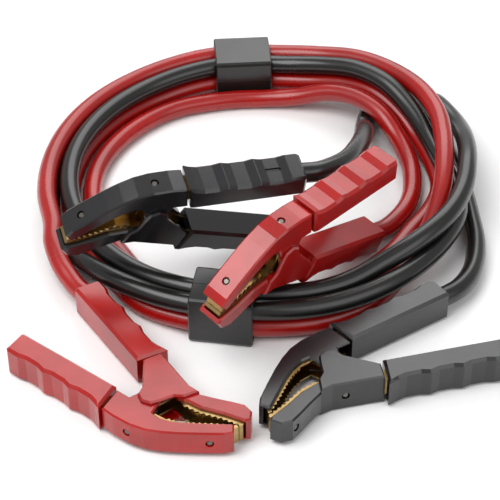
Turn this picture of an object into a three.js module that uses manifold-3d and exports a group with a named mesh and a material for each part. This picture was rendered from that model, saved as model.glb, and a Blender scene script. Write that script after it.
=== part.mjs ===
import * as THREE from 'three';
import { mergeVertices } from 'three/addons/utils/BufferGeometryUtils.js';
import Module from 'manifold-3d';

// Jumper cable: two insulated leads wound in one ring, held by two clips,
// with a sprung clamp on each of the four ends. Millimetres, +Z up, the
// ring's middle at the origin until the last lines move the part.

// --- cable -----------------------------------------------------------------
const CABLE_RADIUS = 6.5;
const CABLE_SIDES = 8;
const CABLE_STEP = 19;
const LANE_OUT = 139.5;
const LANE_MID = 125.6;
const LANE_IN = 111;
const LEVEL_LOW = 6.7;
const LEVEL_MID = 20.5;
const LEVEL_TOP = 34.3;
const CLIP_LOW = 9.2;
const CLIP_MID = 22.95;
const COIL_STEP_DEG = 12;
const COIL_SOFTEN_DEG = 6;

// --- clips -----------------------------------------------------------------
const CLIP_LENGTH = 40;
const CLIP_WALL = 2.2;
const CLIP_OUTER_R = 148.5;
const CLIP_SEAM = 0.35;
const CLIP_CORNER = 2.4;
const CLIP_FOOT = 0.1;

// --- clamp -----------------------------------------------------------------
const SHELL_HALF = 8.5;
const SHELL_WALL = 2.2;
const LOBE_HALF = 10.8;
const LOBE_INNER_HALF = 8.8;
const PLATE_HALF = 6.1;
const PLATE_INNER_HALF = 4.95;
const TAB_HALF = 4.7;
const TAB_INNER_HALF = 3.6;
const FIT_GAP = 0.25;
const PLATE_THICK = 1.2;
const GRIP_HALF = 10.6;
const GRIP_BEVEL = 1.8;
const TANG_HALF = 4.5;
const TANG_LENGTH = 36;
const BORE_RADIUS = 7.4;
const BORE_DEPTH = 30;
const EAR_RADIUS = 7.4;
const PLATE_EAR_RADIUS = 6.6;
const TAB_RADIUS = 5.8;
const PIN_RADIUS = 2.4;
const PIN_HOLE_RADIUS = 2.62;
const PIN_HALF = 8.3;
const SPRING_RADIUS = 4.2;
const SPRING_WIRE = 0.75;
const SPRING_TURNS = 3;
const SPRING_HALF = 2.6;
const RIVET_HEAD = 2.3;
const RIVET_SHANK = 1.4;
const RIVET_SUNK = 0.5;
const TOOTH_PITCH = 3.3;
const TOOTH_HEIGHT = 1.3;

const RED = 0xb02a24;
const BLACK = 0x30302f;
const CLIP_GREY = 0x3a3a39;
const BRASS = 0x8a7450;
const STEEL = 0x9a958c;

const wasm = await Module();
wasm.setup();

// --- helpers ---------------------------------------------------------------
function toSolid(geometry) {
  const plain = geometry.index ? geometry.toNonIndexed() : geometry.clone();
  plain.deleteAttribute('normal');
  plain.deleteAttribute('uv');
  const merged = mergeVertices(plain, 1e-5);
  const mesh = new wasm.Mesh({
    numProp: 3,
    vertProperties: new Float32Array(merged.attributes.position.array),
    triVerts: new Uint32Array(merged.index.array),
  });
  return new wasm.Manifold(mesh);
}

function toGeometry(solid) {
  const mesh = solid.getMesh();
  const geometry = new THREE.BufferGeometry();
  const points = new Float32Array(mesh.vertProperties);
  geometry.setAttribute('position', new THREE.BufferAttribute(points, 3));
  geometry.setIndex(new THREE.BufferAttribute(new Uint32Array(mesh.triVerts), 1));
  return geometry;
}

function shapeOf(points) {
  return new THREE.Shape(points.map(([x, y]) => new THREE.Vector2(x, y)));
}

// A profile in the clamp's u, v plane, pushed along w between two depths.
function slab(points, low, high, bevel = 0) {
  const shape = shapeOf(points);
  const geometry = new THREE.ExtrudeGeometry(shape, {
    depth: high - low - 2 * bevel,
    bevelEnabled: bevel > 0,
    bevelThickness: bevel,
    bevelSize: bevel,
    bevelOffset: -bevel,
    bevelSegments: 1,
    curveSegments: 1,
  });
  geometry.translate(0, 0, low + bevel);
  return toSolid(geometry);
}

function disc(radius, low, high, sides = 10) {
  const points = [];
  for (let i = 0; i < sides; i += 1) {
    const a = (2 * Math.PI * i) / sides;
    points.push([radius * Math.cos(a), radius * Math.sin(a)]);
  }
  return slab(points, low, high);
}

// An open line moved sideways, to its right when the distance is positive.
function offsetLine(line, distance) {
  const normals = [];
  for (let i = 0; i < line.length - 1; i += 1) {
    const dx = line[i + 1][0] - line[i][0];
    const dy = line[i + 1][1] - line[i][1];
    const length = Math.hypot(dx, dy);
    normals.push([dy / length, -dx / length]);
  }
  return line.map(([x, y], i) => {
    const before = normals[Math.max(i - 1, 0)];
    const after = normals[Math.min(i, normals.length - 1)];
    const bx = before[0] + after[0];
    const by = before[1] + after[1];
    const scale = (2 * distance) / (bx * bx + by * by);
    return [x + bx * scale, y + by * scale];
  });
}

// A row of teeth along a line, pointing to its left.
function teeth(line) {
  const out = [];
  for (let i = 0; i < line.length - 1; i += 1) {
    const [ax, ay] = line[i];
    const [bx, by] = line[i + 1];
    const length = Math.hypot(bx - ax, by - ay);
    const count = Math.max(1, Math.round(length / TOOTH_PITCH));
    const nx = -(by - ay) / length;
    const ny = (bx - ax) / length;
    for (let k = 0; k < count; k += 1) {
      const root = k / count;
      const tip = (k + 0.5) / count;
      out.push([ax + (bx - ax) * root, ay + (by - ay) * root]);
      out.push([
        ax + (bx - ax) * tip + nx * TOOTH_HEIGHT,
        ay + (by - ay) * tip + ny * TOOTH_HEIGHT,
      ]);
    }
  }
  out.push(line[line.length - 1]);
  return out;
}

function counterClockwise(points) {
  let area = 0;
  points.forEach(([x, y], i) => {
    const [nx, ny] = points[(i + 1) % points.length];
    area += x * ny - nx * y;
  });
  return area > 0 ? points : points.slice().reverse();
}

function plate(points, low, high, bevel = 0) {
  return slab(counterClockwise(points), low, high, bevel);
}

function along(from, direction, distance, side = 0) {
  return [
    from[0] + direction[0] * distance - direction[1] * side,
    from[1] + direction[1] * distance + direction[0] * side,
  ];
}

// --- the clamp's two arms, in the clamp's own frame -------------------------
// u runs from the handles to the nose, v towards the convex arm, and w is the
// hinge axis through the origin.
const SPINE_A = [
  [-13, 27.3], [-4, 26.9], [8, 24.8], [17, 21.4], [25, 16.2],
  [33, 9.5], [43, 0], [52, -9], [55, -14],
];
const EDGE_A = [[50, -19], [39.5, -9.2], [29.5, 0], [22.5, 5.4], [16, 8.2]];
const BITE_A = [[52, -20.6], [41, -11.7], [31, -2.4], [24, 2.8], [18.5, 5.2]];
const SPINE_B = [
  [-21.5, -27.2], [1, -22.5], [10, -20.7], [18, -21.5], [27, -26],
  [36, -31], [43, -34.5], [50, -33.6], [54.5, -28],
];
const EDGE_B = [[52.5, -25.4], [40, -20.7], [27, -14.5], [15, -12]];
const BITE_B = [[53, -23.2], [40, -18.6], [27, -12.4], [16, -10]];

const GRIP_A_FRONT = [-14.2, 19];
const GRIP_A_REAR = [-91.5, 28.6];
const GRIP_B_FRONT = [-25, -22];
const GRIP_B_REAR = [-100, -36];

function unit(from, to) {
  const length = Math.hypot(to[0] - from[0], to[1] - from[1]);
  return [(to[0] - from[0]) / length, (to[1] - from[1]) / length];
}

const RUN_A = unit(GRIP_A_FRONT, GRIP_A_REAR);
const RUN_B = unit(GRIP_B_FRONT, GRIP_B_REAR);

function shellA() {
  const ear = [[16, 8.2], [10.5, 8.6], [7.2, 1], [-7.2, 1], [-9, 9.5], [-18, 10.6]];
  const body = plate([...SPINE_A, ...EDGE_A, ...ear.slice(1)], -SHELL_HALF, SHELL_HALF, 1);
  const lobe = disc(EAR_RADIUS, -SHELL_HALF, SHELL_HALF);
  const roof = offsetLine(SPINE_A, SHELL_WALL);
  const nose = roof[roof.length - 1];
  const hollow = plate(
    [[-30, roof[0][1]], ...roof, [nose[0], -30], [-30, -30]],
    -PLATE_HALF - FIT_GAP,
    PLATE_HALF + FIT_GAP,
  );
  const hole = disc(PIN_HOLE_RADIUS, -20, 20);
  return body.add(lobe).subtract(hollow).subtract(hole);
}

function plateA() {
  const outer = offsetLine(SPINE_A, SHELL_WALL + FIT_GAP);
  const root = outer[0];
  const tang = [
    along(GRIP_A_FRONT, RUN_A, 0, TANG_HALF),
    along(GRIP_A_FRONT, RUN_A, TANG_LENGTH, TANG_HALF),
    along(GRIP_A_FRONT, RUN_A, TANG_LENGTH, -TANG_HALF),
    along(GRIP_A_FRONT, RUN_A, 0, -TANG_HALF),
  ];
  const bite = teeth(BITE_A);
  const chin = [[10, 7], [6.4, 1.5], [-6.4, 1.5], [-8.5, 10.5]];
  const body = plate(
    [root, ...outer.slice(1, -1), ...bite, ...chin, ...tang],
    -PLATE_HALF,
    PLATE_HALF,
  );
  const ear = disc(PLATE_EAR_RADIUS, -PLATE_HALF, PLATE_HALF);
  const roof = offsetLine(SPINE_A, SHELL_WALL + FIT_GAP + PLATE_THICK);
  const tail = along(GRIP_A_FRONT, RUN_A, TANG_LENGTH + 5, -TANG_HALF + PLATE_THICK);
  const nose = roof[roof.length - 2];
  const hollow = plate(
    [tail, [-16, roof[0][1] - 1.6], ...roof.slice(1, -1), [nose[0], -40], [tail[0], -40]],
    -PLATE_INNER_HALF,
    PLATE_INNER_HALF,
  );
  const hole = disc(PIN_HOLE_RADIUS, -20, 20);
  return body.add(ear).subtract(hollow).subtract(hole);
}

function shellB() {
  const crown = [
    [10.5, -8], [EAR_RADIUS + 0.6, 0], [5.7, 5.7], [0, 8], [-5.7, 5.7],
    [-EAR_RADIUS - 0.6, 0], [-24.6, -15.8],
  ];
  const lowLine = SPINE_B.slice(0, 4);
  const cheeks = plate([...lowLine, [15, -12], ...crown], -LOBE_HALF, LOBE_HALF, 1);
  const jaw = plate(
    [...SPINE_B.slice(2), ...EDGE_B, [8, -12]],
    -SHELL_HALF,
    SHELL_HALF,
    1,
  );
  const floor = offsetLine(SPINE_B, -SHELL_WALL);
  const nose = floor[floor.length - 1];
  const hollow = plate(
    [[-30, floor[0][1]], ...floor, [nose[0], 20], [-30, 20]],
    -PLATE_HALF - FIT_GAP,
    PLATE_HALF + FIT_GAP,
  );
  const swing = plate(
    [[-40, -9.8], [14.5, -9.8], [14.5, 14], [-40, 14]],
    -LOBE_INNER_HALF,
    LOBE_INNER_HALF,
  );
  return cheeks.add(jaw).subtract(hollow).subtract(swing);
}

function plateB() {
  const outer = offsetLine(SPINE_B, -SHELL_WALL - FIT_GAP);
  const tang = [
    along(GRIP_B_FRONT, RUN_B, 0, -TANG_HALF),
    along(GRIP_B_FRONT, RUN_B, TANG_LENGTH, -TANG_HALF),
    along(GRIP_B_FRONT, RUN_B, TANG_LENGTH, TANG_HALF),
    along(GRIP_B_FRONT, RUN_B, 0, TANG_HALF),
  ];
  const bite = teeth(BITE_B.slice().reverse()).reverse();
  const body = plate(
    [...outer.slice(0, -1), ...bite, [12, -11], [-13, -11.5], ...tang],
    -PLATE_HALF,
    PLATE_HALF,
  );
  const floor = offsetLine(SPINE_B, -SHELL_WALL - FIT_GAP - PLATE_THICK);
  const tail = along(GRIP_B_FRONT, RUN_B, TANG_LENGTH + 5, TANG_HALF - PLATE_THICK);
  const nose = floor[floor.length - 2];
  const hollow = plate(
    [tail, ...floor.slice(0, -1), [nose[0], 10], [tail[0], 10]],
    -PLATE_INNER_HALF,
    PLATE_INNER_HALF,
  );
  const web = floor[1][1];
  const tab = plate([[-8, web - 2.1], [8, web + 1.2], [5.6, 0], [-5.6, 0]], -TAB_HALF, TAB_HALF)
    .add(disc(TAB_RADIUS, -TAB_HALF, TAB_HALF));
  const slot = plate([[-20, web], [20, web], [20, 20], [-20, 20]], -TAB_INNER_HALF, TAB_INNER_HALF);
  const hole = disc(PIN_HOLE_RADIUS, -20, 20);
  return body.subtract(hollow).add(tab.subtract(slot)).subtract(hole);
}

// A handle sleeve: a bar with three finger hollows along its outer side.
function grip(front, rear, run, outward, innerFront, lip, holdsCable) {
  const length = Math.hypot(rear[0] - front[0], rear[1] - front[1]);
  const half = 8.6;
  const hollows = [0.2, 0.47, 0.74];
  const reach = 0.13;
  const depth = 1.7;
  const outer = [];
  outer.push(lip);
  hollows.forEach((place) => {
    outer.push(along(front, run, length * (place - reach), outward * half));
    outer.push(along(front, run, length * (place - reach * 0.45), outward * (half - depth * 0.85)));
    outer.push(along(front, run, length * (place + reach * 0.45), outward * (half - depth * 0.85)));
    outer.push(along(front, run, length * (place + reach), outward * half));
  });
  outer.push(along(rear, run, -2, outward * half));
  outer.push(along(rear, run, 0, outward * (half - 1.5)));
  outer.push(along(rear, run, 1.6, -outward * (half - 1.5)));
  outer.push(along(rear, run, 0, -outward * half));
  outer.push(innerFront);
  let body = plate(outer, -GRIP_HALF, GRIP_HALF, GRIP_BEVEL);
  const socketHalf = TANG_HALF + 0.3;
  const socket = plate(
    [
      along(front, run, -15, socketHalf), along(front, run, TANG_LENGTH + 1, socketHalf),
      along(front, run, TANG_LENGTH + 1, -socketHalf), along(front, run, -15, -socketHalf),
    ],
    -PLATE_HALF - 0.3,
    PLATE_HALF + 0.3,
  );
  body = body.subtract(socket);
  if (holdsCable) {
    const bore = new THREE.CylinderGeometry(BORE_RADIUS, BORE_RADIUS, 2 * BORE_DEPTH, 16);
    bore.rotateZ(Math.atan2(run[1], run[0]) - Math.PI / 2);
    bore.translate(rear[0], rear[1], 0);
    body = body.subtract(toSolid(bore));
  }
  return body;
}

function pin() {
  return disc(PIN_RADIUS, -PIN_HALF, PIN_HALF, 12);
}

function spring() {
  const points = [];
  points.push(new THREE.Vector3(-10, 9, -SPRING_HALF));
  points.push(new THREE.Vector3(-6, 6.5, -SPRING_HALF));
  const perTurn = 8;
  const count = SPRING_TURNS * perTurn;
  for (let i = 0; i <= count; i += 1) {
    const a = Math.PI * 0.6 - (2 * Math.PI * i) / perTurn;
    const w = -SPRING_HALF + (2 * SPRING_HALF * i) / count;
    points.push(new THREE.Vector3(SPRING_RADIUS * Math.cos(a), SPRING_RADIUS * Math.sin(a), w));
  }
  points.push(new THREE.Vector3(6, 6.5, SPRING_HALF));
  points.push(new THREE.Vector3(10, 9, SPRING_HALF));
  return tube(points, SPRING_WIRE, 4, 30, 'centripetal');
}

function tube(points, radius, sides, steps, kind = 'catmullrom') {
  const curve = new THREE.CatmullRomCurve3(points, false, kind, 0.5);
  const ring = [];
  for (let i = 0; i < sides; i += 1) {
    const a = (2 * Math.PI * i) / sides;
    ring.push([radius * Math.cos(a), radius * Math.sin(a)]);
  }
  return new THREE.ExtrudeGeometry(shapeOf(ring), { steps, bevelEnabled: false, extrudePath: curve });
}

// A rivet, its head a little below the shell's face, its tail inside the plate.
function rivetSpot(line, index, share, side) {
  const [ax, ay] = line[index];
  const [bx, by] = line[index + 1];
  const run = unit(line[index], line[index + 1]);
  return {
    at: [ax + (bx - ax) * share, ay + (by - ay) * share],
    out: [-run[1] * side, run[0] * side],
  };
}

const RIVETS_A = [rivetSpot(SPINE_A, 1, 0.8, 1), rivetSpot(SPINE_A, 6, 0.35, 1)];
const RIVETS_B = [rivetSpot(SPINE_B, 1, 0.1, -1), rivetSpot(SPINE_B, 5, 0.55, -1)];

function turnedTo(spot, geometry) {
  geometry.rotateZ(Math.atan2(spot.out[1], spot.out[0]) - Math.PI / 2);
  geometry.translate(spot.at[0], spot.at[1], 0);
  return geometry;
}

function rivetHoles(spots) {
  let holes = null;
  spots.forEach((spot) => {
    const wide = turnedTo(spot, new THREE.CylinderGeometry(RIVET_HEAD + 0.4, RIVET_HEAD + 0.4, 4.3, 8));
    const narrow = turnedTo(spot, new THREE.CylinderGeometry(RIVET_SHANK + 0.3, RIVET_SHANK + 0.3, 12, 8));
    const pair = toSolid(wide).add(toSolid(narrow));
    holes = holes ? holes.add(pair) : pair;
  });
  return holes;
}

function rivet(spot) {
  const deep = SHELL_WALL + FIT_GAP + PLATE_THICK;
  const profile = [
    [0, -deep - 1.3], [RIVET_SHANK + 0.7, -deep - 1.3], [RIVET_SHANK + 0.7, -deep - 0.3],
    [RIVET_SHANK, -deep - 0.3], [RIVET_SHANK, -SHELL_WALL + 0.1], [RIVET_HEAD, -SHELL_WALL + 0.1],
    [RIVET_HEAD, -RIVET_SUNK - 0.5], [RIVET_HEAD - 0.8, -RIVET_SUNK], [0, -RIVET_SUNK],
  ];
  const lathe = new THREE.LatheGeometry(profile.map(([x, y]) => new THREE.Vector2(x, y)), 6);
  return turnedTo(spot, lathe);
}

// --- building the whole ------------------------------------------------------
const group = new THREE.Group();
group.name = 'jumper_cable';

function place(name, geometry, colour, roughness, metalness, matrix = null) {
  if (matrix) {
    geometry.applyMatrix4(matrix);
  }
  const material = new THREE.MeshStandardMaterial({ color: colour, roughness, metalness });
  const mesh = new THREE.Mesh(geometry, material);
  mesh.name = name;
  group.add(mesh);
  return mesh;
}

// Yaw, pitch and roll of a clamp in degrees: nose direction, nose rise, and
// the lean of the convex arm from straight up towards the left of the nose.
function clampMatrix({ yaw, pitch, roll, pivot }) {
  const y = THREE.MathUtils.degToRad(yaw);
  const p = THREE.MathUtils.degToRad(pitch);
  const r = THREE.MathUtils.degToRad(roll);
  const u = new THREE.Vector3(Math.cos(y) * Math.cos(p), Math.sin(y) * Math.cos(p), Math.sin(p));
  const side = new THREE.Vector3(-Math.sin(y), Math.cos(y), 0);
  const up = new THREE.Vector3().crossVectors(u, side);
  const v = up.multiplyScalar(Math.cos(r)).addScaledVector(side, Math.sin(r));
  const w = new THREE.Vector3().crossVectors(u, v);
  return new THREE.Matrix4().makeBasis(u, v, w).setPosition(...pivot);
}

const FLAT_HEIGHT = LOBE_HALF + CLIP_FOOT;
const CLAMPS = [
  { name: 'front_left', colour: RED, cableArm: 'b', yaw: -45.3, pitch: 0, roll: -90, pivot: [-60.9, -210.3, FLAT_HEIGHT] },
  { name: 'front_right', colour: BLACK, cableArm: 'a', yaw: 205.75, pitch: 0, roll: -90, pivot: [45.5, -180.6, FLAT_HEIGHT] },
  { name: 'rear', colour: BLACK, cableArm: 'a', yaw: 201.3, pitch: 13, roll: 16, pivot: [-63.8, -94.9, 67.2] },
  { name: 'middle', colour: RED, cableArm: 'b', yaw: 227.1, pitch: 7.8, roll: 8, pivot: [14, -124.6, 59.8] },
];

const holesA = rivetHoles(RIVETS_A);
const holesB = rivetHoles(RIVETS_B);
const shellASolid = shellA().subtract(holesA);
const shellBSolid = shellB().subtract(holesB);
const plateASolid = plateA().subtract(holesA);
const plateBSolid = plateB().subtract(holesB);
const LIP_A = [-13.6, 29.4];
const LIP_B = [-21.5, -32.6];
const INNER_A = [-19.5, 10.2];
const INNER_B = [-27.5, -13];

CLAMPS.forEach((clamp) => {
  const matrix = clampMatrix(clamp);
  const gripA = grip(GRIP_A_FRONT, GRIP_A_REAR, RUN_A, -1, INNER_A, LIP_A, clamp.cableArm === 'a');
  const gripB = grip(GRIP_B_FRONT, GRIP_B_REAR, RUN_B, 1, INNER_B, LIP_B, clamp.cableArm === 'b');
  const n = clamp.name;
  place(`${n}_shell_a`, toGeometry(shellASolid), clamp.colour, 0.4, 0, matrix);
  place(`${n}_shell_b`, toGeometry(shellBSolid), clamp.colour, 0.4, 0, matrix);
  place(`${n}_jaw_a`, toGeometry(plateASolid), BRASS, 0.35, 0.9, matrix);
  place(`${n}_jaw_b`, toGeometry(plateBSolid), BRASS, 0.35, 0.9, matrix);
  place(`${n}_grip_a`, toGeometry(gripA), clamp.colour, 0.45, 0, matrix);
  place(`${n}_grip_b`, toGeometry(gripB), clamp.colour, 0.45, 0, matrix);
  place(`${n}_pin`, toGeometry(pin()), STEEL, 0.35, 1, matrix);
  place(`${n}_spring`, spring(), STEEL, 0.35, 1, matrix);
  [...RIVETS_A, ...RIVETS_B].forEach((spot, i) => {
    place(`${n}_rivet_${i + 1}`, rivet(spot), STEEL, 0.4, 1, matrix);
  });
});

// --- clips -------------------------------------------------------------------
// One clip is a closed sleeve of two halves round four strands. It is made
// along X, its outer side at y = 0 towards +Y, and then set on the ring.
function clip(width, height) {
  const round = CLIP_CORNER;
  const outline = [
    [0, round], [0, height - round], [-round * 0.3, height - round * 0.3], [-round, height],
    [-width + round, height], [-width + round * 0.3, height - round * 0.3], [-width, height - round],
    [-width, round], [-width + round * 0.3, round * 0.3], [-width + round, 0],
    [-round, 0], [-round * 0.3, round * 0.3],
  ];
  const half = CLIP_LENGTH / 2;
  const outer = plate(outline, -half, half, 0.8);
  const inner = plate(
    [
      [-CLIP_WALL, CLIP_WALL], [-CLIP_WALL, height - CLIP_WALL],
      [-width + CLIP_WALL, height - CLIP_WALL], [-width + CLIP_WALL, CLIP_WALL],
    ],
    -half - 1,
    half + 1,
  );
  return outer.subtract(inner);
}

function splitClip(name, width, height, angleDeg, seamAcross) {
  const whole = clip(width, height);
  const big = 200;
  const gap = CLIP_SEAM / 2;
  const cut = (low, high) => (seamAcross
    ? plate([[low, -big], [high, -big], [high, big], [low, big]], -big, big)
    : plate([[-big, low], [big, low], [big, high], [-big, high]], -big, big));
  const middle = seamAcross ? -width / 2 : height / 2;
  const a = THREE.MathUtils.degToRad(angleDeg);
  const along0 = new THREE.Vector3(Math.cos(a), Math.sin(a), 0);
  const upward = new THREE.Vector3(0, 0, 1);
  const tangent = new THREE.Vector3().crossVectors(along0, upward);
  const spot = along0.clone().multiplyScalar(CLIP_OUTER_R);
  const matrix = new THREE.Matrix4().makeBasis(along0, upward, tangent);
  matrix.setPosition(spot.x, spot.y, CLIP_FOOT);
  const first = whole.intersect(cut(-big, middle - gap));
  const second = whole.intersect(cut(middle + gap, big));
  place(`${name}_half_1`, toGeometry(first), CLIP_GREY, 0.5, 0, matrix);
  place(`${name}_half_2`, toGeometry(second), CLIP_GREY, 0.5, 0, matrix.clone());
}

splitClip('clip_front', 34, 34, 261.5, true);
splitClip('clip_back', 36, 32, 94.5, false);

// --- cables --------------------------------------------------------------------
// Each row: degrees walked clockwise from the ring's left, radius, height.
const RED_COIL = [
  [-22, 143.3, 20.5], [-10, 140.8, 20.8], [10, LANE_OUT, LEVEL_MID], [55, LANE_OUT, LEVEL_MID],
  [74, LANE_OUT, CLIP_MID], [97, LANE_OUT, CLIP_MID], [108, LANE_OUT, 26],
  [124, LANE_OUT, LEVEL_TOP + 0.5], [148, LANE_OUT, 35], [177, LANE_MID, 35],
  [188, LANE_MID, 33.5], [203, LANE_MID, 20], [218, LANE_MID, 8.5], [224, 127, LEVEL_LOW],
  [242, LANE_OUT, LEVEL_LOW], [252, LANE_OUT, LEVEL_LOW], [266, LANE_OUT, CLIP_LOW],
  [290, LANE_OUT, CLIP_LOW], [297, LANE_OUT, LEVEL_LOW], [302, 138.5, LEVEL_LOW],
  [320, LANE_MID, LEVEL_LOW], [415, LANE_MID, LEVEL_LOW], [434, LANE_MID, CLIP_LOW],
  [457, LANE_MID, CLIP_LOW], [468, LANE_MID, CLIP_LOW + 2], [484, LANE_MID, LEVEL_MID + 0.7],
  [499, LANE_MID, LEVEL_MID + 0.6], [514, LANE_MID, LEVEL_LOW], [542, LANE_MID, LEVEL_LOW],
  [562, LANE_IN, LEVEL_LOW], [594, LANE_IN, LEVEL_LOW], [612, LANE_MID, LEVEL_LOW],
  [624, LANE_MID, CLIP_LOW], [655, LANE_MID, CLIP_LOW], [661, LANE_MID - 1, LEVEL_LOW + 1],
  [677, LANE_IN, LEVEL_LOW], [730, LANE_IN, LEVEL_LOW], [780, 109, LEVEL_LOW],
  [793, 105.2, LEVEL_LOW], [817, 105.2, LEVEL_LOW], [828, 107, 10.5],
  [842, LANE_IN, LEVEL_MID + 2.2], [863, LANE_IN, LEVEL_MID + 1.6], [879, 110.5, 8.5], [886, 109, 8],
];
const BLACK_COIL = [
  [146, 159, 13], [155, 153, 17.5], [164, 148, 24], [172, 144, 31], [180, 140.8, 35.1],
  [200, LANE_OUT, 35.1], [213, 136, 34.6], [230, 124.6, 25], [240, LANE_MID, LEVEL_MID + 0.8],
  [252, LANE_MID, LEVEL_MID + 0.4], [264, LANE_MID, CLIP_MID], [270, LANE_MID, CLIP_MID],
  [287, LANE_MID, CLIP_MID], [300, LANE_MID, LEVEL_MID], [415, LANE_MID, LEVEL_MID],
  [434, LANE_MID, CLIP_MID], [457, LANE_MID, CLIP_MID], [468, LANE_MID, 26],
  [484, LANE_MID, LEVEL_TOP + 1], [499, LANE_MID, LEVEL_TOP + 1], [519, LANE_MID, LEVEL_MID],
  [535, LANE_MID, LEVEL_MID], [555, LANE_OUT, LEVEL_MID], [614, LANE_OUT, LEVEL_MID],
  [627, LANE_OUT, CLIP_MID], [649, LANE_OUT, CLIP_MID], [658, LANE_OUT, LEVEL_MID + 0.3],
  [673, LANE_OUT, LEVEL_MID], [692, LANE_OUT, LEVEL_LOW], [775, LANE_OUT, LEVEL_LOW],
  [794, LANE_OUT, CLIP_LOW], [817, LANE_OUT, CLIP_LOW], [828, LANE_OUT, 11],
  [844, LANE_OUT, LEVEL_MID + 0.2], [860, LANE_OUT, LEVEL_MID], [878, LANE_OUT, LEVEL_LOW],
  [886, LANE_OUT, LEVEL_LOW], [896, 140.2, LEVEL_LOW],
];
// The hand-laid ends, from the clamp to the coil and from the coil to the clamp.
const RED_START = [[-114, -104.5, 11.4], [-124, -89.5, 15], [-130.5, -72, 19]];
const RED_END = [
  [106.8, 10, 7.8], [105, -7, 7.2], [100, -21.5, 7], [92.3, -33.8, 6.9], [83.8, -43.6, 7.5],
];
const BLACK_START = [
  [41.4, -62.9, 71.8], [57, -43.5, 65], [65, -22, 57.5], [70.5, 2, 48], [73.3, 24, 38.5],
  [74.2, 42, 27], [75.3, 58, 14.5], [77, 72, 7.2], [79.5, 84, 6.7], [84, 95, 6.7],
  [93.1, 103.7, 6.7], [104.2, 107.2, 6.7], [115.8, 105.7, 7.2], [125.7, 99.4, 9.2],
];
const BLACK_END = [[143.5, -36, 6.8], [144, -56, 7.3], [141.5, -76, 8], [136, -93, 9.5], [127, -106.5, 10.6]];

function laneAt(rows, degrees, column) {
  for (let i = 0; i < rows.length - 1; i += 1) {
    if (degrees < rows[i + 1][0]) {
      const share = (degrees - rows[i][0]) / (rows[i + 1][0] - rows[i][0]);
      const held = Math.max(share, 0);
      return rows[i][column] + (rows[i + 1][column] - rows[i][column]) * held;
    }
  }
  return rows[rows.length - 1][column];
}

function coilPoints(rows) {
  const first = rows[0][0];
  const last = rows[rows.length - 1][0];
  const count = Math.round((last - first) / COIL_STEP_DEG);
  const points = [];
  for (let i = 0; i <= count; i += 1) {
    const degrees = first + ((last - first) * i) / count;
    let radius = 0;
    let height = 0;
    [-COIL_SOFTEN_DEG, 0, COIL_SOFTEN_DEG].forEach((shift) => {
      radius += laneAt(rows, degrees + shift, 1) / 3;
      height += laneAt(rows, degrees + shift, 2) / 3;
    });
    const a = THREE.MathUtils.degToRad(180 - degrees);
    points.push(new THREE.Vector3(radius * Math.cos(a), radius * Math.sin(a), height));
  }
  return points;
}

// The points inside a handle, from the cable's end in the bore to the mouth.
function handlePoints(clamp) {
  const matrix = clampMatrix(clamp);
  const rear = clamp.cableArm === 'a' ? GRIP_A_REAR : GRIP_B_REAR;
  const run = clamp.cableArm === 'a' ? RUN_A : RUN_B;
  const inside = along(rear, run, 1.5 - BORE_DEPTH);
  const halfway = along(rear, run, -BORE_DEPTH / 2);
  const mouth = along(rear, run, 0);
  return [inside, halfway, mouth].map(([u, v]) => new THREE.Vector3(u, v, 0).applyMatrix4(matrix));
}

const toVectors = (rows) => rows.map(([x, y, z]) => new THREE.Vector3(x, y, z));

function cable(name, start, startRows, coilRows, endRows, end, colour) {
  const points = [
    ...handlePoints(start), ...toVectors(startRows), ...coilPoints(coilRows),
    ...toVectors(endRows), ...handlePoints(end).reverse(),
  ];
  const length = new THREE.CatmullRomCurve3(points, false, 'catmullrom', 0.5).getLength();
  const steps = Math.round(length / CABLE_STEP);
  place(name, tube(points, CABLE_RADIUS, CABLE_SIDES, steps), colour, 0.42, 0);
  return points.map((p) => p.toArray());
}

const [frontLeft, frontRight, rear, middle] = CLAMPS;
group.userData.red_cable = cable('red_cable', frontLeft, RED_START, RED_COIL, RED_END, middle, RED);
group.userData.black_cable = cable('black_cable', rear, BLACK_START, BLACK_COIL, BLACK_END, frontRight, BLACK);

// --- origin: bottom centre of the box round the clamps and clips ---------------
const box = new THREE.Box3();
group.children.forEach((mesh) => {
  if (!mesh.name.endsWith('_cable')) {
    mesh.geometry.computeBoundingBox();
    box.union(mesh.geometry.boundingBox);
  }
});
const middlePoint = box.getCenter(new THREE.Vector3());
group.children.forEach((mesh) => {
  mesh.geometry.translate(-middlePoint.x, -middlePoint.y, -box.min.z);
});

group.userData.shift = [-middlePoint.x, -middlePoint.y, -box.min.z];

export default group;
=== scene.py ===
import math

import bpy
from bpy.props import FloatProperty, FloatVectorProperty, PointerProperty
from mathutils import Matrix, Vector


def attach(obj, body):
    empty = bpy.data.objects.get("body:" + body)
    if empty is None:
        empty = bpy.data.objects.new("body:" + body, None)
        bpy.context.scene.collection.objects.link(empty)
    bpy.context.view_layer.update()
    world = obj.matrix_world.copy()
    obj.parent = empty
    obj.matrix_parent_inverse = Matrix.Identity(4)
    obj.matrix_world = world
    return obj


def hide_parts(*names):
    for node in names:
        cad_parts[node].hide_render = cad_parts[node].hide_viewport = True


bl_info = {
    "name": "Jump lead set",
    "version": (1, 0, 0),
    "blender": (4, 2, 0),
    "location": "3D View > Sidebar > Jump leads",
    "description": "Two jump leads wound in one ring, with a sprung clamp on each end",
    "category": "Object",
}

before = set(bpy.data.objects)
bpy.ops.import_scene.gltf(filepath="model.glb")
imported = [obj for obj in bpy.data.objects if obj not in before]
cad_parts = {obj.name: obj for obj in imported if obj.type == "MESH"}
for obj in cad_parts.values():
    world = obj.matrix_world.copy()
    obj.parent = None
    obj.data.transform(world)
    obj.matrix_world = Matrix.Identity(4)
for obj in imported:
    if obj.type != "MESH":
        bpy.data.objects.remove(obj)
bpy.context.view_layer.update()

MM = 0.001
# From the ring's middle on the floor to the part's origin, in millimetres.
RING_SHIFT = (-1.5432, 45.6912, -0.1)

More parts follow.
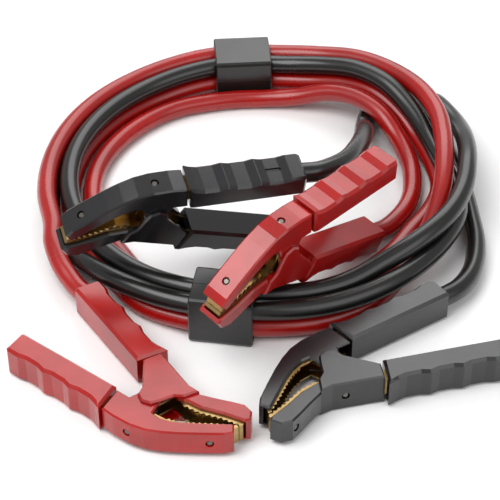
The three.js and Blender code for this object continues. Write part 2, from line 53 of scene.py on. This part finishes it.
# Camera, in millimetres from the ring's middle.
CAMERA_PLACE = (0.0, -945.6, 758.8)
CAMERA_DOWN_DEG = 40.46
CAMERA_TURN_DEG = 0.25
CAMERA_LENS = 127.9
CAMERA_SENSOR = 36
CAMERA_REACH_M = 20

# Floor and studio light, in metres.
FLOOR_SIZE = 12
FLOOR_DROP = 0.0002
FLOOR_ROUGHNESS = 0.9
SKY_STRENGTH = 0.46
# Each light: name, place, width and share of the key light's power.
LIGHTS = (
    ("Key light", (-0.5, -0.35, 1.1), 0.9, 1.0),
    ("Fill light", (0.9, -0.9, 0.9), 1.1, 0.45),
    ("Back light", (0.1, 1.0, 0.9), 1.0, 0.6),
)

# Radii and heights of the strands in the ring, in millimetres.
LANE_OUT = 139.5
LANE_MID = 125.6
LANE_IN = 111.0
LEVEL_LOW = 6.7
LEVEL_MID = 20.5
LEVEL_TOP = 34.3
CLIP_LOW = 9.2
CLIP_MID = 22.95
COIL_STEP_DEG = 12
COIL_SOFTEN_DEG = 6
CURVE_STEPS = 6
CABLE_BEVEL_STEPS = 5
BORE_DEPTH = 30.0
BORE_END_GAP = 1.5

# Rounding of edges sharper than this angle.
EDGE_ANGLE_DEG = 28
PLASTIC_EDGE_STEPS = 3
METAL_EDGE_STEPS = 2
CLIP_EDGE_SHARE = 0.6

# Texture shared by all finishes. Stains are many grains wide, the bump is one.
STAIN_GRAINS = 30
STAIN_DETAIL = 4
STAIN_FROM = 0.35
STAIN_TO = 0.75
BUMP_DETAIL = 3
BUMP_STRENGTH = 0.35
ROUGHNESS_BELOW = 0.07
ROUGHNESS_ABOVE = 0.09
ROUGHNESS_LEAST = 0.05
COAT_ROUGHNESS = 0.2

# Each row: degrees walked clockwise from the ring's left, radius, height.
RED_COIL = [
    (-22, 143.3, 20.5), (-10, 140.8, 20.8), (10, LANE_OUT, LEVEL_MID), (55, LANE_OUT, LEVEL_MID),
    (74, LANE_OUT, CLIP_MID), (97, LANE_OUT, CLIP_MID), (108, LANE_OUT, 26),
    (124, LANE_OUT, LEVEL_TOP + 0.5), (148, LANE_OUT, 35), (177, LANE_MID, 35),
    (188, LANE_MID, 33.5), (203, LANE_MID, 20), (218, LANE_MID, 8.5), (224, 127, LEVEL_LOW),
    (242, LANE_OUT, LEVEL_LOW), (252, LANE_OUT, LEVEL_LOW), (266, LANE_OUT, CLIP_LOW),
    (290, LANE_OUT, CLIP_LOW), (297, LANE_OUT, LEVEL_LOW), (302, 138.5, LEVEL_LOW),
    (320, LANE_MID, LEVEL_LOW), (415, LANE_MID, LEVEL_LOW), (434, LANE_MID, CLIP_LOW),
    (457, LANE_MID, CLIP_LOW), (468, LANE_MID, CLIP_LOW + 2), (484, LANE_MID, LEVEL_MID + 0.7),
    (499, LANE_MID, LEVEL_MID + 0.6), (514, LANE_MID, LEVEL_LOW), (542, LANE_MID, LEVEL_LOW),
    (562, LANE_IN, LEVEL_LOW), (594, LANE_IN, LEVEL_LOW), (612, LANE_MID, LEVEL_LOW),
    (624, LANE_MID, CLIP_LOW), (655, LANE_MID, CLIP_LOW), (661, LANE_MID - 1, LEVEL_LOW + 1),
    (677, LANE_IN, LEVEL_LOW), (730, LANE_IN, LEVEL_LOW), (780, 109, LEVEL_LOW),
    (793, 105.2, LEVEL_LOW), (817, 105.2, LEVEL_LOW), (828, 107, 10.5),
    (842, LANE_IN, LEVEL_MID + 2.2), (863, LANE_IN, LEVEL_MID + 1.6), (879, 110.5, 8.5),
    (886, 109, 8),
]
BLACK_COIL = [
    (146, 159, 13), (155, 153, 17.5), (164, 148, 24), (172, 144, 31), (180, 140.8, 35.1),
    (200, LANE_OUT, 35.1), (213, 136, 34.6), (230, 124.6, 25), (240, LANE_MID, LEVEL_MID + 0.8),
    (252, LANE_MID, LEVEL_MID + 0.4), (264, LANE_MID, CLIP_MID), (270, LANE_MID, CLIP_MID),
    (287, LANE_MID, CLIP_MID), (300, LANE_MID, LEVEL_MID), (415, LANE_MID, LEVEL_MID),
    (434, LANE_MID, CLIP_MID), (457, LANE_MID, CLIP_MID), (468, LANE_MID, 26),
    (484, LANE_MID, LEVEL_TOP + 1), (499, LANE_MID, LEVEL_TOP + 1), (519, LANE_MID, LEVEL_MID),
    (535, LANE_MID, LEVEL_MID), (555, LANE_OUT, LEVEL_MID), (614, LANE_OUT, LEVEL_MID),
    (627, LANE_OUT, CLIP_MID), (649, LANE_OUT, CLIP_MID), (658, LANE_OUT, LEVEL_MID + 0.3),
    (673, LANE_OUT, LEVEL_MID), (692, LANE_OUT, LEVEL_LOW), (775, LANE_OUT, LEVEL_LOW),
    (794, LANE_OUT, CLIP_LOW), (817, LANE_OUT, CLIP_LOW), (828, LANE_OUT, 11),
    (844, LANE_OUT, LEVEL_MID + 0.2), (860, LANE_OUT, LEVEL_MID), (878, LANE_OUT, LEVEL_LOW),
    (886, LANE_OUT, LEVEL_LOW), (896, 140.2, LEVEL_LOW),
]
RED_START = [(-114, -104.5, 11.4), (-124, -89.5, 15), (-130.5, -72, 19)]
RED_END = [
    (106.8, 10, 7.8), (105, -7, 7.2), (100, -21.5, 7), (92.3, -33.8, 6.9), (83.8, -43.6, 7.5),
]
BLACK_START = [
    (41.4, -62.9, 71.8), (57, -43.5, 65), (65, -22, 57.5), (70.5, 2, 48), (73.3, 24, 38.5),
    (74.2, 42, 27), (75.3, 58, 14.5), (77, 72, 7.2), (79.5, 84, 6.7), (84, 95, 6.7),
    (93.1, 103.7, 6.7), (104.2, 107.2, 6.7), (115.8, 105.7, 7.2), (125.7, 99.4, 9.2),
]
BLACK_END = [
    (143.5, -36, 6.8), (144, -56, 7.3), (141.5, -76, 8), (136, -93, 9.5), (127, -106.5, 10.6),
]

# Yaw, pitch and roll in degrees and the hinge's middle, from the ring's middle.
CLAMPS = {
    "front_left": {
        "red": True, "arm": "b", "turn": (-45.3, 0, -90), "pivot": (-60.9, -210.3, 10.9),
    },
    "front_right": {
        "red": False, "arm": "a", "turn": (205.75, 0, -90), "pivot": (45.5, -180.6, 10.9),
    },
    "rear": {
        "red": False, "arm": "a", "turn": (201.3, 13, 16), "pivot": (-63.8, -94.9, 67.2),
    },
    "middle": {
        "red": True, "arm": "b", "turn": (227.1, 7.8, 8), "pivot": (14, -124.6, 59.8),
    },
}
GRIP_FRONT = {"a": (-14.2, 19), "b": (-25, -22)}
GRIP_REAR = {"a": (-91.5, 28.6), "b": (-100, -36)}


def linear(channel):
    """One sRGB channel as linear light."""
    if channel <= 0.04045:
        return channel / 12.92
    return ((channel + 0.055) / 1.055) ** 2.4


def colour(text):
    """Linear RGBA of a hex sRGB colour."""
    parts = [int(text[i:i + 2], 16) / 255 for i in (0, 2, 4)]
    return [linear(value) for value in parts] + [1.0]


def node(tree, kind, place, **values):
    """A new node whose named inputs, or else its own properties, are set."""
    made = tree.nodes.new(kind)
    made.location = place
    for key, value in values.items():
        name = key.replace("_", " ")
        if name in made.inputs:
            made.inputs[name].default_value = value
        else:
            setattr(made, key, value)
    return made


def surface(name, base, darker, rough, metal, grain_mm, bump_mm, coat=0.0):
    """A material whose colour, roughness and height vary over a few sizes of grain."""
    made = bpy.data.materials.new(name)
    made.use_nodes = True
    tree = made.node_tree
    tree.nodes.clear()
    out = node(tree, "ShaderNodeOutputMaterial", (700, 0))
    shader = node(
        tree, "ShaderNodeBsdfPrincipled", (400, 0),
        Metallic=metal, Coat_Weight=coat, Coat_Roughness=COAT_ROUGHNESS,
    )
    place = node(tree, "ShaderNodeTexCoord", (-900, 0))
    broad = node(
        tree, "ShaderNodeTexNoise", (-650, 200),
        Scale=1 / (grain_mm * STAIN_GRAINS * MM), Detail=STAIN_DETAIL,
    )
    fine = node(
        tree, "ShaderNodeTexNoise", (-650, -200),
        Scale=1 / (grain_mm * MM), Detail=BUMP_DETAIL,
    )
    mix = node(tree, "ShaderNodeMix", (-150, 200), data_type="RGBA")
    mix.inputs[6].default_value = colour(base)
    mix.inputs[7].default_value = colour(darker)
    spread = node(
        tree, "ShaderNodeMapRange", (-400, 200), From_Min=STAIN_FROM, From_Max=STAIN_TO,
    )
    dull = node(
        tree, "ShaderNodeMapRange", (-150, -50),
        To_Min=max(rough - ROUGHNESS_BELOW, ROUGHNESS_LEAST), To_Max=rough + ROUGHNESS_ABOVE,
    )
    height = node(
        tree, "ShaderNodeBump", (150, -250), Strength=BUMP_STRENGTH, Distance=bump_mm * MM,
    )
    link = tree.links.new
    link(place.outputs["Object"], broad.inputs["Vector"])
    link(place.outputs["Object"], fine.inputs["Vector"])
    link(broad.outputs[0], spread.inputs["Value"])
    link(spread.outputs[0], mix.inputs[0])
    link(mix.outputs[2], shader.inputs["Base Color"])
    link(broad.outputs[0], dull.inputs["Value"])
    link(dull.outputs[0], shader.inputs["Roughness"])
    link(fine.outputs[0], height.inputs["Height"])
    link(height.outputs["Normal"], shader.inputs["Normal"])
    link(shader.outputs["BSDF"], out.inputs["Surface"])
    return made


# Each finish: material, colour, stain colour, roughness, metalness, grain and bump in
# millimetres, clear coat.
FINISHES = {
    "red_plastic": ("Red ABS moulding", "a90f0b", "8f0b09", 0.23, 0.0, 0.9, 0.05, 0.35),
    "black_plastic": ("Black ABS moulding", "17171a", "101012", 0.22, 0.0, 0.9, 0.05, 0.4),
    "plated_jaw": ("Brass plated steel", "b39766", "80683f", 0.28, 1.0, 0.6, 0.04, 0.0),
    "zinc_steel": ("Zinc plated steel", "77736c", "5c5852", 0.35, 1.0, 0.5, 0.03, 0.0),
    "clip_plastic": ("Black polypropylene", "181817", "121211", 0.3, 0.0, 0.7, 0.05, 0.2),
    "red_sheath": ("Red PVC sheath", "a30f0b", "8a0b08", 0.27, 0.0, 1.4, 0.05, 0.25),
    "black_sheath": ("Black PVC sheath", "161615", "0f0f0e", 0.28, 0.0, 1.4, 0.05, 0.25),
}


def finish(slot_name):
    """The slot's material, made once."""
    found = bpy.data.materials.get(FINISHES[slot_name][0])
    return found or surface(*FINISHES[slot_name])


def clamp_matrix(clamp):
    """From a clamp's own axes, jaws along +X and hinge along +Z, to the ring's."""
    yaw, pitch, roll = (math.radians(value) for value in clamp["turn"])
    level = math.cos(pitch)
    along = Vector((math.cos(yaw) * level, math.sin(yaw) * level, math.sin(pitch)))
    side = Vector((-math.sin(yaw), math.cos(yaw), 0))
    across = along.cross(side) * math.cos(roll) + side * math.sin(roll)
    hinge = along.cross(across)
    turned = Matrix((along, across, hinge)).transposed().to_4x4()
    return Matrix.Translation(Vector(clamp["pivot"])) @ turned


def handle_points(clamp):
    """Three points of the cable inside a sleeve, from the bore's end to its mouth."""
    arm = clamp["arm"]
    front = Vector(GRIP_FRONT[arm])
    rear = Vector(GRIP_REAR[arm])
    run = (rear - front).normalized()
    spots = [rear + run * step for step in (BORE_END_GAP - BORE_DEPTH, -BORE_DEPTH / 2, 0)]
    return [clamp_matrix(clamp) @ Vector((spot.x, spot.y, 0)) for spot in spots]


def lane_at(rows, degrees, column):
    """Radius or height of a strand at an angle, straight between the rows."""
    for low, high in zip(rows, rows[1:]):
        if degrees < high[0]:
            share = max((degrees - low[0]) / (high[0] - low[0]), 0)
            return low[column] + (high[column] - low[column]) * share
    return rows[-1][column]


def coil_points(rows):
    """Points of a strand round the ring, each the mean of three near angles."""
    first, last = rows[0][0], rows[-1][0]
    count = round((last - first) / COIL_STEP_DEG)
    points = []
    for i in range(count + 1):
        degrees = first + (last - first) * i / count
        near = (degrees - COIL_SOFTEN_DEG, degrees, degrees + COIL_SOFTEN_DEG)
        radius = sum(lane_at(rows, spot, 1) for spot in near) / 3
        height = sum(lane_at(rows, spot, 2) for spot in near) / 3
        angle = math.radians(180 - degrees)
        points.append(Vector((radius * math.cos(angle), radius * math.sin(angle), height)))
    return points


def smooth_line(points):
    """Points along a uniform Catmull-Rom curve through the given ones."""
    ends = [points[0] * 2 - points[1]] + points + [points[-1] * 2 - points[-2]]
    line = []
    for i in range(1, len(ends) - 2):
        before, start, stop, after = ends[i - 1:i + 3]
        for k in range(CURVE_STEPS):
            t = k / CURVE_STEPS
            line.append(0.5 * (
                start * 2 + (stop - before) * t
                + (before * 2 - start * 5 + stop * 4 - after) * t ** 2
                + (start * 3 - before - stop * 3 + after) * t ** 3
            ))
    line.append(points[-1])
    return line


def to_part(points):
    """Points in metres from the part's origin."""
    shift = Vector(RING_SHIFT)
    return [(Vector(point) + shift) * MM for point in points]


class JumpLeadSettings(bpy.types.PropertyGroup):
    cable_diameter: FloatProperty(
        name="Cable diameter", description="Outer diameter of each sheath",
        default=0.013, min=0.005, max=0.03, unit="LENGTH",
    )
    edge_radius: FloatProperty(
        name="Edge radius", description="Rounding of the moulded edges",
        default=0.0012, min=0.0, max=0.003, unit="LENGTH",
    )
    metal_edge: FloatProperty(
        name="Metal edge", description="Rounding of the pressed metal's edges",
        default=0.00018, min=0.0, max=0.001, unit="LENGTH",
    )
    floor_colour: FloatVectorProperty(
        name="Floor colour", description="Colour of the floor and backdrop",
        subtype="COLOR", default=(0.9, 0.9, 0.9), min=0.0, max=1.0,
    )
    light_power: FloatProperty(
        name="Key light", description="Power of the main soft light in watts",
        default=12.5, min=0.0, unit="POWER",
    )


def settings():
    return bpy.context.scene.jump_leads


def give(obj, slot_name):
    obj.data.materials.clear()
    obj.data.materials.append(finish(slot_name))


def cad_node(name):
    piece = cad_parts.get(name)
    if piece is None:
        raise RuntimeError(f"The frame has no node named {name}")
    return piece


def dress(name, slot_name, edge, steps):
    """Give a CAD node its finish and round its edges."""
    piece = cad_node(name)
    give(piece, slot_name)
    bevel = piece.modifiers.new("Rounded edges", "BEVEL")
    bevel.width = edge
    bevel.segments = steps
    bevel.limit_method = "ANGLE"
    bevel.angle_limit = math.radians(EDGE_ANGLE_DEG)


def add_cable(name, slot_name, points):
    """A round cable through the points, in place of its CAD node."""
    replaced = name.replace("lead", "cable")
    cad_node(replaced)
    line = to_part(smooth_line(points))
    bpy.ops.object.select_all(action="DESELECT")
    bpy.ops.curve.primitive_nurbs_path_add(location=(0, 0, 0))
    cable = bpy.context.active_object
    cable.name = name
    cable.data.name = name
    cable.data.splines.clear()
    spline = cable.data.splines.new("POLY")
    spline.points.add(len(line) - 1)
    for spot, place in zip(spline.points, line):
        spot.co = (*place, 1.0)
    spline.use_smooth = True
    cable.data.dimensions = "3D"
    cable.data.bevel_depth = settings().cable_diameter / 2
    cable.data.bevel_resolution = CABLE_BEVEL_STEPS
    cable.data.use_fill_caps = True
    give(cable, slot_name)
    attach(cable, "lead")
    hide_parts(replaced)


class LEADS_OT_stage(bpy.types.Operator):
    """Floor, soft lights and the camera of the photograph"""
    bl_idname = "leads.stage"
    bl_label = "Stage"

    def execute(self, context):
        scene = context.scene
        data = bpy.data.cameras.new("Photo camera")
        camera = bpy.data.objects.new("Photo camera", data)
        scene.collection.objects.link(camera)
        camera.location = to_part([CAMERA_PLACE])[0]
        camera.rotation_euler = (
            math.radians(90 - CAMERA_DOWN_DEG), 0, math.radians(CAMERA_TURN_DEG),
        )
        data.lens = CAMERA_LENS
        data.sensor_width = CAMERA_SENSOR
        data.clip_end = CAMERA_REACH_M
        scene.camera = camera
        bpy.ops.object.select_all(action="DESELECT")
        bpy.ops.mesh.primitive_plane_add(size=FLOOR_SIZE, location=(0, 0, -FLOOR_DROP))
        floor = context.active_object
        floor.name = "Floor"
        paper = bpy.data.materials.new("White paper")
        paper.use_nodes = True
        shader = paper.node_tree.nodes["Principled BSDF"]
        shader.inputs["Base Color"].default_value = (*settings().floor_colour, 1)
        shader.inputs["Roughness"].default_value = FLOOR_ROUGHNESS
        floor.data.materials.append(paper)
        for name, place, size, share in LIGHTS:
            lamp_data = bpy.data.lights.new(name, "AREA")
            lamp_data.size = size
            lamp_data.energy = settings().light_power * share
            lamp = bpy.data.objects.new(name, lamp_data)
            scene.collection.objects.link(lamp)
            lamp.location = place
            lamp.rotation_euler = (-Vector(place)).to_track_quat("-Z", "Y").to_euler()
        world = scene.world or bpy.data.worlds.new("Studio")
        scene.world = world
        world.use_nodes = True
        sky = world.node_tree.nodes.get("Background")
        sky.inputs["Color"].default_value = (1, 1, 1, 1)
        sky.inputs["Strength"].default_value = SKY_STRENGTH
        scene.view_settings.view_transform = "Standard"
        return {"FINISHED"}


class LEADS_OT_cables(bpy.types.Operator):
    """The red and the black cable, wound in one ring"""
    bl_idname = "leads.cables"
    bl_label = "Cables"

    def execute(self, context):
        red = (
            handle_points(CLAMPS["front_left"]) + [Vector(p) for p in RED_START]
            + coil_points(RED_COIL) + [Vector(p) for p in RED_END]
            + handle_points(CLAMPS["middle"])[::-1]
        )
        black = (
            handle_points(CLAMPS["rear"]) + [Vector(p) for p in BLACK_START]
            + coil_points(BLACK_COIL) + [Vector(p) for p in BLACK_END]
            + handle_points(CLAMPS["front_right"])[::-1]
        )
        add_cable("red_lead", "red_sheath", red)
        add_cable("black_lead", "black_sheath", black)
        return {"FINISHED"}


class LEADS_OT_clamps(bpy.types.Operator):
    """Edges and finish of every piece of the clamps"""
    bl_idname = "leads.clamps"
    bl_label = "Clamps"

    def execute(self, context):
        plastic_edge = settings().edge_radius
        metal_edge = settings().metal_edge
        for name, clamp in CLAMPS.items():
            plastic = "red_plastic" if clamp["red"] else "black_plastic"
            for kind in ("shell_a", "shell_b", "grip_a", "grip_b"):
                dress(f"{name}_{kind}", plastic, plastic_edge, PLASTIC_EDGE_STEPS)
            for kind in ("jaw_a", "jaw_b"):
                dress(f"{name}_{kind}", "plated_jaw", metal_edge, METAL_EDGE_STEPS)
            for kind in ("pin", "rivet_1", "rivet_2", "rivet_3", "rivet_4"):
                dress(f"{name}_{kind}", "zinc_steel", metal_edge, METAL_EDGE_STEPS)
            give(cad_node(f"{name}_spring"), "zinc_steel")
        return {"FINISHED"}


class LEADS_OT_clips(bpy.types.Operator):
    """Edges and finish of the clips that hold the ring"""
    bl_idname = "leads.clips"
    bl_label = "Clips"

    def execute(self, context):
        edge = settings().edge_radius * CLIP_EDGE_SHARE
        for name in ("clip_front", "clip_back"):
            for half in ("half_1", "half_2"):
                dress(f"{name}_{half}", "clip_plastic", edge, PLASTIC_EDGE_STEPS)
        return {"FINISHED"}


class LEADS_PT_panel(bpy.types.Panel):
    bl_label = "Jump leads"
    bl_idname = "LEADS_PT_panel"
    bl_space_type = "VIEW_3D"
    bl_region_type = "UI"
    bl_category = "Jump leads"

    def draw(self, context):
        for key in JumpLeadSettings.__annotations__:
            self.layout.prop(context.scene.jump_leads, key)
        for operator in OPERATORS:
            self.layout.operator(operator.bl_idname)


OPERATORS = (LEADS_OT_stage, LEADS_OT_cables, LEADS_OT_clamps, LEADS_OT_clips)
CLASSES = (JumpLeadSettings, *OPERATORS, LEADS_PT_panel)


def register():
    for made in CLASSES:
        bpy.utils.register_class(made)
    bpy.types.Scene.jump_leads = PointerProperty(type=JumpLeadSettings)


def unregister():
    del bpy.types.Scene.jump_leads
    for made in reversed(CLASSES):
        bpy.utils.unregister_class(made)


def main():
    register()
    bpy.ops.leads.stage()
    bpy.ops.leads.cables()
    bpy.ops.leads.clamps()
    bpy.ops.leads.clips()


if __name__ == "__main__":
    main()
